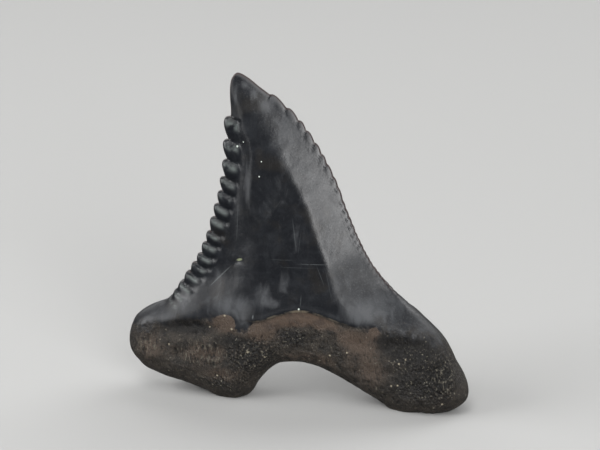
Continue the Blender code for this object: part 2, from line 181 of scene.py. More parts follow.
def pointsOn(line, where, scale):
    return np.stack([np.interp(where, scale, line[:, 0]), np.interp(where, scale, line[:, 1])], axis=1)


def directionAt(line, place, reach=0.3):
    lengths = lengthsAlong(line)
    run = pointsOn(line, place + reach, lengths) - pointsOn(line, place - reach, lengths)
    return run / np.linalg.norm(run, axis=1)[:, None]


def outlineEdges():
    left = smoothLine(outline["left"], outline["root"][1], outline["right"][-2])
    right = smoothLine(outline["right"], outline["root"][-2], outline["left"][-2])
    root = smoothLine(outline["root"], outline["left"][1], outline["right"][1])
    return left, right, root


def layOut(u, v, left, right, root):
    # each grid point lies along its rung, and low down the rungs bend round the arch of the root
    low = (v / outline["rootRowShare"]) ** outline["rootRowCrowding"] * outline["rootRungs"]
    highRungs = len(outline["left"]) - 1 - outline["rootRungs"]
    high = outline["rootRungs"] + (v - outline["rootRowShare"]) / (1 - outline["rootRowShare"]) * highRungs
    rung = np.where(v < outline["rootRowShare"], low, high)
    across = blend(u, (1 - np.cos(np.pi * u)) / 2, outline["edgeCrowding"])
    share = across[:, None]
    rungScale = np.arange(len(left)) / outline["steps"]
    straight = blend(pointsOn(left, rung, rungScale), pointsOn(right, rung, rungScale), share)
    lengths = lengthsAlong(root)
    bottom = pointsOn(root, across * lengths[-1], lengths)
    bend = bottom - blend(root[0], root[-1], share)
    fade = (1 - ease(rung, 0, outline["bendRungs"])) ** outline["bendFall"]
    return straight + bend * fade[:, None]


# Hooked denticles of the left edge from the top down, with the ribs behind them on a thin blade.
denticles = {
    "lengths": [2.2, 1.95, 1.76, 1.39, 1.36, 1.36, 1.5, 1.23, 1.28, 1.14, 1.12, 1.22, 1.03, 0.85, 0.78],
    "reaches": [0.6, 0.55, 0.5, 0.54, 0.46, 0.5, 0.48, 0.42, 0.45, 0.45, 0.47, 0.45, 0.32, 0.18, 0.1],
    "topZ": 27.5,
    "lift": 0.5,
    "root": 0.6,
    "hookFullAt": 0.34,
    "hookFall": 1.7,
    "ribHeight": 0.62,
    "ribDepth": 0.36,
    "ribLength": 1.65,
    "ribFade": 0.65,
    "ribSlopes": (0.16, -0.34),  # at the top and low down
    "ribSlopeTurns": (6.0, 18.0),  # between these lengths from the top
    "ribSkew": 0.85,
    "paintedHighlightAt": 0.3,  # painted highlight: a pale streak on the upper side of each rib, where the light from above falls
    "paintedHighlightHalfWidth": 0.14,
    "bladeRound": 0.4,
    "bladeStep": 1.15,
    "bladeStepFrom": 1.25,
    "bladeStepTo": (6.2, 3.4),  # low down, and beside the upper middle
    "bladeStepTurn": (15.0, 20.5),  # between these heights
    "bladeRise": 0.1,
    "marginFrom": (0.5, 1.4),  # from the edge; the next three run along it
    "marginFade": (-0.5, 3.5),
    "topFade": (-0.12, 0.2),
    "bottomFade": (-0.6, 1.0),
}

# Fine scallops of the right edge from the top down; the last ones are all alike.
scallops = {
    "lengths": [2.0, 1.62, 1.15, 1.4, 1.25, 1.0, 1.4, 1.1, 1.4, 0.8, 0.8, 0.8, 0.8] + 14 * [0.62],
    "topZ": 29.8,
    "reaches": (0.26, 0.08),
    "reachTurn": (1.0, 14.0),  # between these lengths from the top
    "lift": 0.3,
    "root": 0.45,
    "groove": 0.14,
    "grooveFade": (0.25, 0.75),
    "grooveSlope": 0.5,
    "grooveRounds": (0.3, 0.15),
}

# Line on the front where the enamel ends and the bare root starts: x, z.
enamelEnd = {
    "front": [
        (-17.5, 6.4), (-15.2, 6.9), (-12.5, 7.6), (-8.0, 8.5), (-5.2, 8.45), (-3.7, 8.45), (-1.1, 9.35),
        (0.8, 9.8), (3.0, 9.45), (4.7, 8.95), (7.8, 8.6), (11.2, 8.3), (13.0, 7.6), (17.5, 6.6),
    ],
    "frontFade": (-0.05, 0.25),
    "backZ": 11.5,
    "backWaves": [(5.0, 0.45, 21), (1.6, 0.12, 22)],
    "backFade": (-0.1, 0.25),
    "sideFade": (0.3, 2.2),  # from the edge inwards, where the back takes up its own line
}


def smallTeeth(place, top, lengths):
    # share of the way down its own small tooth, and the number of that tooth from the top
    starts = np.concatenate([[0], np.cumsum(lengths)])
    down = top - place
    number = np.clip(np.searchsorted(starts, down, side="right") - 1, 0, len(lengths) - 1)
    return np.clip((down - starts[number]) / np.array(lengths)[number], 0, 1), number


def hook(share):
    fullAt = denticles["hookFullAt"]
    fall = 1 - np.clip((share - fullAt) / (1 - fullAt), 0, 1) ** denticles["hookFall"]
    return roundOff(share, fullAt) * fall


class ToothField:
    # what every grid point knows about its own place on the tooth
    def __init__(self, points, left, right, root):
        self.x, self.z = points.T
        self.toLeft, leftPlace = nearest(points, left)
        self.toRight, rightPlace = nearest(points, right)
        toRoot, _ = nearest(points, root)
        self.toEdge = np.minimum(np.minimum(self.toLeft, self.toRight), toRoot)
        self.upLeft = directionAt(left, leftPlace)
        self.upRight = directionAt(right, rightPlace)
        self.addDenticles(left, leftPlace)
        self.addScallops(right, rightPlace)
        self.below = smoothValues(self.x, enamelEnd["front"]) - self.z
        self.bare = ease(self.below, *enamelEnd["frontFade"])
        backEnd = enamelEnd["backZ"] + lumps(self.x, self.z * 0, enamelEnd["backWaves"])
        self.belowBack = backEnd - self.z
        self.bareBack = ease(self.belowBack, *enamelEnd["backFade"])

    def addDenticles(self, left, place):
        lengths = denticles["lengths"]
        top = np.interp(denticles["topZ"], left[:, 1], lengthsAlong(left))
        bottom = top - sum(lengths)
        share, number = smallTeeth(place, top, lengths)
        inside = (place <= top) & (place >= bottom)
        self.denticle = hook(share) * np.array(denticles["reaches"])[number] * inside
        slope = blend(*denticles["ribSlopes"], ease(top - place, *denticles["ribSlopeTurns"]))
        share, _ = smallTeeth(place + slope * self.toLeft, top, lengths)
        self.rib = np.sin(np.pi * share ** denticles["ribSkew"])
        # painted highlight on the upper side of each rib, where the light from above falls
        self.ribPaintedHighlight = np.exp(-(((share - denticles["paintedHighlightAt"]) / denticles["paintedHighlightHalfWidth"]) ** 2))
        ends = ease(place - bottom, *denticles["bottomFade"])
        self.serrated = ease(top - place, *denticles["topFade"]) * ends
        self.margin = ease(top - place, *denticles["marginFade"]) * ends

    def addScallops(self, right, place):
        lengths = scallops["lengths"]
        top = np.interp(scallops["topZ"], right[:, 1], lengthsAlong(right))
        bottom = top - sum(lengths)
        share, _ = smallTeeth(place, top, lengths)
        reach = blend(*scallops["reaches"], ease(top - place, *scallops["reachTurn"]))
        inside = (place <= top) & (place >= bottom)
        self.scallop = hook(share) * reach * inside
        share, _ = smallTeeth(place + scallops["grooveSlope"] * self.toRight, top, lengths)
        upper, lower = scallops["grooveRounds"]
        self.groove = (1 - roundOff(share, upper) * roundOff(1 - share, lower)) * inside


# Front and back of the crown; the pairs are z and height above the middle plane.
crown = {
    "frontMiddle": [
        (6.0, 2.75), (8.5, 2.6), (10.0, 2.37), (12.0, 2.08), (16.0, 1.76), (21.0, 1.55), (25.3, 1.33),
        (27.0, 1.1), (28.65, 0.83), (30.2, 0.5), (31.9, 0.17),
    ],
    "middleTilt": 0.035,
    "middleTiltX": -2.0,
    "leftFacetSlope": 0.62,
    "flankSlopes": (0.4, 0.575),
    "flankZ": (26.0, 15.0),
    "edgeBluntness": 0.13,
    "ridgeSoftness": 0.16,
    "creaseSoftness": 0.22,
    "backMiddle": [
        (6.0, 3.8), (9.0, 3.7), (12.0, 3.3), (16.0, 2.75), (21.0, 2.3), (25.3, 1.9),
        (27.0, 1.6), (28.65, 1.25), (30.2, 0.8), (31.9, 0.22),
    ],
    "backRound": 4.6,
    "backFullness": 0.85,
    "backBlade": 0.3,
    "backRibDepth": 0.2,
    "backBladeLength": 1.6,
    "lean": 1.0,
    "leanZ": (10.0, 31.75),
    "waves": [(7.0, 0.03, 31), (2.2, 0.014, 32), (0.9, 0.004, 33)],  # faint unevenness of the enamel
    "waveEdge": (0.5, 1.5),
    "chips": [(-5.6, 13.8, 0.34, 0.2, 0.16), (-6.0, 13.5, 0.2, 0.3, 0.06), (0.6, 9.95, 0.12, 0.12, 0.05)],
    # hairline cracks: x at the foot, lowest and highest z, and slant
    "cracks": [(0.85, 15.2, 19.2, 0.08), (1.5, 14.2, 17.8, -0.05), (-2.6, 20.5, 24.8, 0.06)],
    "crackTaper": 0.8,
    "crackDepth": 0.02,
    "crackHalfWidth": 0.09,
}


def ribbedMargin(field):
    fade = 1 - ease(field.toLeft, denticles["ribLength"] - denticles["ribFade"], denticles["ribLength"])
    valley = denticles["ribDepth"] * (1 - field.rib) * fade
    blade = roundOff(field.toLeft, denticles["bladeRound"]) * (denticles["ribHeight"] - valley)
    stepTo = blend(*denticles["bladeStepTo"], ease(field.z, *denticles["bladeStepTurn"]))
    step = denticles["bladeStep"] * ease(field.toLeft, denticles["bladeStepFrom"], stepTo)
    return blade + step + denticles["bladeRise"] * np.maximum(field.toLeft - stepTo, 0)


def rightFlank(field):
    blunt = roundOff(field.toRight, crown["edgeBluntness"])
    topZ, lowZ = crown["flankZ"]
    slope = blend(*crown["flankSlopes"], ease(topZ - field.z, 0, topZ - lowZ))
    fade = 1 - ease(field.toRight, *scallops["grooveFade"])
    groove = scallops["groove"] * field.groove * fade * blunt
    return crown["edgeBluntness"] * blunt + slope * field.toRight - groove


def frontOfCrown(field):
    middle = smoothValues(field.z, crown["frontMiddle"])
    middle += crown["middleTilt"] * (field.x - crown["middleTiltX"])
    facet = crown["edgeBluntness"] * roundOff(field.toLeft, crown["edgeBluntness"])
    facet += crown["leftFacetSlope"] * field.toLeft
    ribbed = blend(field.serrated, field.margin, ease(field.toLeft, *denticles["marginFrom"]))
    leftSide = blend(facet, ribbedMargin(field), ribbed)
    ridge = softMin(leftSide, rightFlank(field), crown["ridgeSoftness"])
    return softMin(ridge, middle, crown["creaseSoftness"])


def enamelMarks(field):
    # small chips and hairline cracks of the front
    marks = hills(field.x, field.z, crown["chips"])
    taper = crown["crackTaper"]
    for atX, lowZ, highZ, slant in crown["cracks"]:
        aside = (field.x - atX - slant * (field.z - lowZ)) / crown["crackHalfWidth"]
        ends = ease(field.z, lowZ, lowZ + taper) * (1 - ease(field.z, highZ - taper, highZ))
        marks += crown["crackDepth"] * np.exp(-(aside**2)) * ends
    return marks


# Root: swellings are x, z, half width, half height and rise; lumps are size, height and seed.
root = {
    "height": 2.75,
    "round": 3.0,
    "swellings": [(-10.0, 4.5, 5.0, 3.5, 0.25), (12.0, 4.5, 4.0, 4.0, 0.2), (-0.5, 6.0, 4.5, 4.0, -0.25)],
    "rightHollow": [(11.2, 6.9, 2.3, 0.9, 0.55)],
    "hollowFrom": (-0.3, 1.1),
    "backHeight": 4.0,
    "backRound": 3.8,
    "boss": [(0.8, 8.2, 7.5, 3.3, 2.5), (1.1, 6.9, 0.6, 2.0, -0.8)],
    "frontBlendZ": (8.3, 12.8),
    "backBlendZ": (8.5, 13.5),
    "lobeBlendDrop": 0.04,
    # lip and fold run along the end of the enamel; the pairs are x where each comes in and goes out
    "lipHeight": 0.13,
    "lipDrop": -0.1,
    "lipHalfWidth": 0.28,
    "lipX": [(-5.5, -3.0), (8.0, 4.5)],
    "foldDepth": 0.42,
    "foldDrop": 0.9,
    "foldHalfWidth": 0.75,
    "foldX": [(-15.5, -13.0), (-6.5, -9.5)],
    "reliefEdge": (0.2, 1.4),
    "reliefZ": (12.8, 10.8),
    "smoothBand": (0.8, 1.9),
    "smoothBandX": 0.5,
    "smoothBandHalfLength": 5.5,
    "lumpEdge": 0.9,
    "lumpSink": 0.07,
    "frontLumps": [(2.6, 0.075, 3), (1.3, 0.035, 5), (0.62, 0.018, 7)],
    "backLumps": [(2.6, 0.09, 11), (1.3, 0.04, 12), (0.62, 0.02, 13)],
    "pits": 620,
    # each pit is drawn between these: x, z, half width, half height, slant and depth
    "pitRanges": [(-16.5, 16.5), (-0.5, 11.0), (0.06, 0.15), (0.1, 0.32), (-0.35, 0.35), (0.05, 0.16)],
    "pitReach": (1.0, 1.3),
    "pitEdge": (0.1, 0.5),
    "pitSeed": 41,
}


def rootPits(x, z, seed):
    # pores of the bare root, each a little taller than wide
    rng = np.random.RandomState(seed)
    total = np.zeros_like(x)
    reachX, reachZ = root["pitReach"]
    for _ in range(root["pits"]):
        drawn = [rng.uniform(*ends) for ends in root["pitRanges"]]
        atX, atZ, halfWidth, halfHeight, slant, depth = drawn
        near = np.flatnonzero((np.abs(x - atX) < reachX) & (np.abs(z - atZ) < reachZ))
        downwards = z[near] - atZ
        sideways = (x[near] - atX - slant * downwards) / halfWidth
        total[near] += depth * np.exp(-(sideways**2) - (downwards / halfHeight) ** 2)
    return total


def frontOfRoot(field):
    height = root["height"] + hills(field.x, field.z, root["swellings"])
    return height * roundOff(field.toEdge, root["round"])


def wave(field, name):
    # ridge or furrow along the end of the enamel
    comesIn, goesOut = root[name + "X"]
    profile = np.exp(-(((field.below - root[name + "Drop"]) / root[name + "HalfWidth"]) ** 2))
    return profile * ease(field.x, *comesIn) * ease(field.x, *goesOut)


def frontRelief(field):
    # lip along the arch, fold and hollow under the enamel, then lumps and pores of the bare root
    lip = root["lipHeight"] * wave(field, "lip")
    fold = root["foldDepth"] * wave(field, "fold")
    hollow = hills(field.x, field.z, root["rightHollow"]) * ease(field.below, *root["hollowFrom"])
    nearMiddle = np.exp(-(((field.x - root["smoothBandX"]) / root["smoothBandHalfLength"]) ** 2))
    rough = field.bare * (1 - (1 - ease(field.below, *root["smoothBand"])) * nearMiddle)
    field.pits = rootPits(field.x, field.z, root["pitSeed"]) * rough
    field.pits *= ease(field.toEdge, *root["pitEdge"])
    uneven = (lumps(field.x, field.z, root["frontLumps"]) - root["lumpSink"]) * rough
    inner = ease(field.toEdge, *root["reliefEdge"])
    return (lip - fold - hollow) * inner + uneven * roundOff(field.toEdge, root["lumpEdge"]) - field.pits


def thickEnough(height, field):
    return np.maximum(height, outline["thinnest"] * roundOff(field.toEdge, denticles["bladeRound"]))


def frontHeight(field):
    low = 1 - ease(field.z + root["lobeBlendDrop"] * np.abs(field.x), *root["frontBlendZ"])
    height = blend(frontOfCrown(field), frontOfRoot(field), low)
    height += frontRelief(field) * ease(field.z, *root["reliefZ"])
    enamel = (1 - field.bare) * ease(field.toEdge, *crown["waveEdge"])
    height += (lumps(field.x, field.z, crown["waves"]) - enamelMarks(field)) * enamel
    return thickEnough(height, field)


def backHeight(field):
    near = softMin(field.toLeft, field.toRight, denticles["bladeRound"])
    blade = crown["backBlade"] - crown["backRibDepth"] * (1 - field.rib) * field.serrated
    blade *= roundOff(near, denticles["bladeRound"])
    blade *= 1 - ease(near, denticles["bladeRound"], crown["backBladeLength"])
    swell = roundOff(near, crown["backRound"]) ** (2 * crown["backFullness"])
    crownBack = blade + smoothValues(field.z, crown["backMiddle"]) * swell
    rootBack = root["backHeight"] + hills(field.x, field.z, root["boss"])
    rootBack *= roundOff(field.toEdge, root["backRound"])
    field.pitsBack = rootPits(field.x, field.z, root["pitSeed"] + 1)
    field.pitsBack *= field.bareBack * ease(field.toEdge, *root["pitEdge"])
    uneven = lumps(field.x, field.z, root["backLumps"]) * field.bareBack
    height = blend(rootBack, crownBack, ease(field.z, *root["backBlendZ"]))
    height += uneven * roundOff(field.toEdge, root["lumpEdge"]) - field.pitsBack
    return thickEnough(height, field)


def leanBack(z):
    fromZ, toZ = crown["leanZ"]
    return crown["lean"] * (np.maximum(z - fromZ, 0) / (toZ - fromZ)) ** 2


def serrate(points, field):
    # both edges move out into their small teeth, and the surface beside them a little too
    outLeft = field.upLeft[:, ::-1] * (-1, 1)
    outRight = field.upRight[:, ::-1] * (1, -1)
    leftPull = field.denticle * np.exp(-((field.toLeft / denticles["root"]) ** 2))
    rightPull = field.scallop * np.exp(-((field.toRight / scallops["root"]) ** 2))
    moved = points + leftPull[:, None] * (outLeft + denticles["lift"] * field.upLeft)
    return moved + rightPull[:, None] * (outRight + scallops["lift"] * field.upRight)


def fitToPacked(points):
    # the standing lobes are worn flat at the floor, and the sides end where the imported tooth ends
    points[:, 2] = np.maximum(points[:, 2], 0)
    low, high = points.min(axis=0), points.max(axis=0)
    packed = np.array([packedLow, packedHigh])
    return packed[0] + (points - low) * (packed[1] - packed[0]) / (high - low)


def gridFaces(numbers):
    # quads of one face, from the point numbers of its rows
    corners = [numbers[:-1, :-1], numbers[:-1, 1:], numbers[1:, 1:], numbers[1:, :-1]]
    return np.stack([corner.ravel() for corner in corners], axis=1)


def placed(name, data):
    made = bpy.data.objects.new(name, data)
    bpy.context.scene.collection.objects.link(made)
    return made


def toothMarks(field, rimGaps):
    # what the material reads at every point, front and back
    belowBack = blend(field.below, field.belowBack, ease(field.toEdge, *enamelEnd["sideFade"]))
    marks = {
        "belowEnamel": (field.below, belowBack),
        "pits": (field.pits, field.pitsBack),
        "rimGap": rimGaps,
        "front": (np.ones_like(field.x), np.zeros_like(field.x)),
    }
    alike = [("leftGap", field.toLeft), ("rightGap", field.toRight), ("serrated", field.serrated),
             ("ribPaintedHighlight", field.ribPaintedHighlight), ("notch", field.groove)]
    for name, value in alike:
        marks[name] = (value, value)
    patches = {**enamelFinish, **rootFinish}
    # the haze patches are partly painted highlight
    for name in ("hazeAndHighlight", "dull", "brown", "dark", "crumbly", "wrinkled"):
        marks[name] = [hills(field.x, field.z, patches[name + side]) for side in ("Front", "Back")]
    return marks


def makeTooth():
    rows, columns = outline["rows"], outline["columns"]
    upwards, across = np.linspace(0, 1, rows + 1), np.linspace(0, 1, columns + 1)
    v, u = [side.ravel() for side in np.meshgrid(upwards, across, indexing="ij")]
    edges = outlineEdges()
    points = layOut(u, v, *edges)
    field = ToothField(points, *edges)
    rim = (np.minimum(u, v) == 0) | (np.maximum(u, v) == 1)
    flat = serrate(points, field) - (outline["middle"][0], 0)
    sides, rimGaps = [], []
    for height in (-frontHeight(field), backHeight(field)):
        height = np.where(rim, 0, height)
        depth = height + leanBack(field.z) - outline["middle"][1]
        sides.append(np.stack([flat[:, 0], depth, flat[:, 1]], axis=1) * mm)
        rimGaps.append(np.hypot(field.toEdge, height))
    frontNumbers = np.arange(len(u))
    backNumbers = np.where(rim, frontNumbers, frontNumbers + len(u))
    quads = np.concatenate([
        gridFaces(frontNumbers.reshape(rows + 1, -1)),
        gridFaces(backNumbers.reshape(rows + 1, -1))[:, ::-1],
    ])
    mesh = bpy.data.meshes.new("tooth")
    mesh.from_pydata(fitToPacked(np.concatenate(sides)).tolist(), [], quads.tolist())
    for name, (front, back) in toothMarks(field, rimGaps).items():
        mark = mesh.attributes.new(name, "FLOAT", "POINT")
        mark.data.foreach_set("value", np.concatenate([front, back]))
    whole = bmesh.new()
    whole.from_mesh(mesh)
    bmesh.ops.remove_doubles(whole, verts=whole.verts, dist=outline["mergeDistance"])
    bmesh.ops.delete(whole, geom=[vert for vert in whole.verts if not vert.link_faces], context="VERTS")
    whole.to_mesh(mesh)
    whole.free()
    mesh.shade_smooth()
    print("tooth made with", sum(len(face.vertices) - 2 for face in mesh.polygons), "triangles")
    return placed("fossil_tooth", mesh)


# A socket that can be written into sums, so that shader maths reads like any other.
class Wire:
    def __init__(self, sheet, socket):
        self.sheet = sheet
        self.socket = socket

    def maths(self, operation, first, second):
        return self.sheet.node("ShaderNodeMath", {"operation": operation}, {0: first, 1: second})

    def __add__(self, other):
        return self.maths("ADD", self, other)

    def __radd__(self, other):
        return self.maths("ADD", other, self)

    def __sub__(self, other):
        return self.maths("SUBTRACT", self, other)

    def __rsub__(self, other):
        return self.maths("SUBTRACT", other, self)

    def __mul__(self, other):
        return self.maths("MULTIPLY", self, other)

    def __rmul__(self, other):
        return self.maths("MULTIPLY", other, self)

    def __truediv__(self, other):
        return self.maths("DIVIDE", self, other)


class NodeSheet:
    def __init__(self, material):
        material.use_nodes = True
        self.tree = material.node_tree
        self.shader = self.tree.nodes["Principled BSDF"]

    def node(self, kind, settings=None, sockets=None, output=0):
        made = self.tree.nodes.new(kind)
        for name, value in (settings or {}).items():
            setattr(made, name, value)
        for name, value in (sockets or {}).items():
            self.plug(made.inputs[name], value)
        return Wire(self, made.outputs[output])

    def plug(self, socket, value):
        if isinstance(value, Wire):
            self.tree.links.new(value.socket, socket)
        else:
            socket.default_value = value

    def feed(self, name, value):
        self.plug(self.shader.inputs[name], value)

    def mark(self, name):
        return self.node("ShaderNodeAttribute", {"attribute_name": name}, output="Fac")

    def fade(self, value, start, end):
        sockets = {"Value": value, "From Min": start, "From Max": end}
        return self.node("ShaderNodeMapRange", {"interpolation_type": "SMOOTHSTEP"}, sockets)

    def mixed(self, first, second, share):
        return self.node("ShaderNodeMix", {"data_type": "RGBA"}, {0: share, 6: first, 7: second}, output=2)

    def layer(self, value, start, end, strength):
        return self.fade(value, start, end) * strength

    def tinted(self, colour, tint, value, layer, within=1.0):
        # the tint comes in over the colour as the value goes through the layer
        return self.mixed(colour, tint, self.layer(value, *layer) * within)

    def noise(self, where, scale, detail=3.0, roughness=0.5, distortion=0.0):
        sockets = {"Vector": where, "Scale": scale, "Detail": detail, "Roughness": roughness,
                   "Distortion": distortion}
        return self.node("ShaderNodeTexNoise", {}, sockets)

    def stretched(self, where, sides):
        return self.node("ShaderNodeVectorMath", {"operation": "MULTIPLY"}, {0: where, 1: sides})

    def bumped(self, height, distance):
        return self.node("ShaderNodeBump", {}, {"Height": height, "Strength": 1.0, "Distance": distance})

    def spot(self, x, z, atX, atZ, halfWidth, halfHeight, turn=0.0):
        # soft round patch, 1 in its middle; the turn is in degrees from level
        cosine, sine = math.cos(math.radians(turn)), math.sin(math.radians(turn))
        sideways = ((x - atX) * cosine + (z - atZ) * sine) / halfWidth
        upwards = ((z - atZ) * cosine - (x - atX) * sine) / halfHeight
        return 1 - self.fade(sideways * sideways + upwards * upwards, 0.0, 1.0)


def rgb(red, green, blue):
    return (red, green, blue, 1.0)


# In the finishes below a noise is its scale, detail, roughness and distortion. A fade is where something
# starts and where it is full, and a layer is a fade and how strong it gets.
enamelFinish = {
    "black": rgb(0.0052, 0.0061, 0.0082),
    "cloud": rgb(0.012, 0.0135, 0.0165),
    # grey of the haze, which is partly the enamel's own clouding and partly painted highlight
    "hazeAndHighlight": rgb(0.066, 0.069, 0.074),
    "warm": rgb(0.0135, 0.0118, 0.01),
    "rim": rgb(0.04, 0.021, 0.018),
    # pale colour of the painted highlight on the ribs
    "ribPaintedHighlight": rgb(0.12, 0.134, 0.13),
    "edgeGrey": rgb(0.11, 0.11, 0.112),
    "scratch": rgb(0.085, 0.092, 0.095),
    "speck": rgb(0.5, 0.55, 0.5),
    "chip": rgb(0.3, 0.33, 0.2),
    "roughness": 0.37,
    "ribRoughness": 0.3,
    "roughnessChange": 0.16,
    "roughnessNoise": (0.8, 4.0, 0.6, 0.8),
    "hazeAndHighlightDulls": (0.2, 0.9, 0.12),
    "wearDulls": (0.1, 0.9, 0.16),
    "specular": 0.36,
    "silkHeight": 0.018,
    "silkNoise": (4.4, 3.0, 0.6),
    "cloudNoise": (0.55, 5.0, 0.62, 1.0),
    "cloudLayer": (0.42, 0.7, 0.8),
    "warmNoise": (0.4, 3.0),
    "warmLayer": (0.52, 0.72, 0.6),
    "wispStretch": (1.0, 1.0, 0.5),
    "wispNoise": (1.0, 4.0, 0.55, 0.8),
    "wispPull": 1.1,
    "hazeAndHighlightFade": (0.2, 1.05),
    "hazeAndHighlightShare": 0.8,
    "faintLayer": (0.52, 0.74, 0.12),
    "grainNoise": (4.5, 2.0, 0.6),
    "grainFade": (0.52, 0.78),
    "grainShare": 0.08,
    "flankGrainShare": 0.2,
    "flankFade": (2.4, 3.3),  # distance from the right edge, less towards the tip
    "flankNarrowing": (26.0, 30.5, 1.4),
    "freckleNoise": (6.5, 1.0, 0.5),
    "freckleLayer": (0.56, 0.72, 0.16),
    "ribFade": (0.7, 1.7),
    "paintedHighlightFades": [(0.0, 0.4), (1.3, 0.75)],
    "paintedHighlightNoise": (1.2, 2.0),
    "paintedHighlightLayer": (0.3, 0.55, 0.75),
    "topLayer": (0.45, 0.12, 0.5),  # tops of the scallops, gaps between them
    "topFade": (0.45, 0.1),
    "topsFromZ": (12.5, 14.0),
    "gapLayer": (0.8, 0.3, 0.8),
    "gapFade": (0.5, 0.95),
    "rimLayer": (0.28, 0.05, 0.7),
    "rimFromZ": (10.0, 13.0),
    # cloudy grey patches, partly the enamel's own clouding and partly painted highlight where the surface
    # faces the light, and clear ones below 0: x, z, half width, half height and strength
    "hazeAndHighlightFront": [
        (-6.1, 9.8, 2.4, 1.3, 0.8), (-10.9, 9.8, 1.2, 1.2, 0.5), (-13.3, 8.2, 2.0, 0.9, 0.5),
        (-6.05, 29.9, 0.28, 1.4, 0.6), (-5.2, 30.7, 0.5, 0.5, 0.8), (-4.3, 29.9, 0.5, 0.6, 0.9),
        (-3.2, 28.9, 0.8, 0.9, 1.0), (-1.0, 26.4, 1.5, 1.8, 0.6), (-5.5, 29.3, 0.35, 0.9, -0.5),
        (-4.9, 27.9, 0.6, 1.1, -0.5), (-4.6, 25.8, 0.8, 1.4, -0.4), (-2.9, 11.0, 0.8, 1.1, 0.65),
        (-0.9, 12.2, 0.7, 1.5, 0.5), (-4.7, 21.6, 0.45, 2.9, 0.7), (4.9, 12.2, 1.3, 1.5, 0.4),
        (6.4, 9.6, 1.6, 0.9, 0.7), (8.6, 10.6, 3.4, 1.5, 0.75), (12.9, 8.6, 2.2, 1.1, 0.5),
        (14.6, 6.7, 0.9, 0.8, 0.7), (0.3, 16.2, 0.4, 2.4, 0.25), (-1.6, 20.6, 2.0, 2.8, 0.38),
        (-7.6, 12.4, 0.8, 1.3, 0.4), (-2.0, 10.2, 1.2, 0.5, 0.5), (-4.85, 8.4, 0.9, 1.2, 0.45),
    ],
    "hazeAndHighlightBack": [
        (-5.5, 13.2, 2.6, 1.2, 0.8), (4.6, 13.0, 2.2, 1.3, 0.7), (-2.2, 20.5, 0.9, 3.5, 0.5),
        (9.5, 9.6, 2.4, 1.4, 0.8), (-12.8, 8.6, 2.0, 0.9, 0.8), (0.5, 15.5, 1.2, 1.8, 0.4),
    ],
    # places where the polish has gone dull
    "dullFront": [(5.6, 13.0, 2.4, 2.2, 1.1), (-12.0, 8.6, 3.0, 1.2, 0.8), (12.0, 8.5, 3.0, 1.2, 1.2)],
    "dullBack": [(0.0, 14.0, 3.0, 2.0, 0.6)],
    # bright specks: x, z and half width
    "specks": [
        (-5.2, 25.4, 0.09), (-5.85, 24.85, 0.12), (-3.3, 23.8, 0.08), (-3.5, 22.35, 0.09), (0.6, 9.95, 0.11),
    ],
    # pale strokes and dark veins: x, z, half length, half width, turn in degrees from level, strength
    "strokes": [
        (1.9, 14.3, 1.9, 0.06, 3.0, 0.45), (-1.1, 14.5, 1.7, 0.05, 4.0, 0.25),
        (0.2, 13.85, 2.2, 0.045, 3.0, 0.2), (0.0, 17.0, 1.9, 0.07, 98.0, 0.35),
        (0.5, 16.2, 1.5, 0.05, 84.0, 0.2), (-7.4, 12.15, 1.8, 0.09, 46.0, 0.55),
        (-5.75, 17.6, 2.2, 0.06, 88.0, 0.3), (-3.85, 8.85, 0.25, 0.09, 85.0, 1.0),
        (2.6, 13.2, 1.3, 0.05, 112.0, 0.3), (3.4, 12.4, 1.9, 0.05, 104.0, 0.2),
        (0.75, 10.7, 0.7, 0.06, 87.0, 0.45),
    ],
    "veins": [
        (-1.9, 19.1, 1.6, 0.12, 62.0, 0.9), (-2.4, 21.2, 0.7, 0.1, 40.0, 0.6),
        (-0.9, 21.0, 1.0, 0.08, 75.0, 0.6),
    ],
    "strokeFade": (0.3, 0.5),
    # x, z, half length, half width and turn of the pale chip
    "paleChip": (-5.5, 13.95, 0.4, 0.17, 22.0),
    "paleChipLayer": (-0.6, 0.4, 1.0),
}

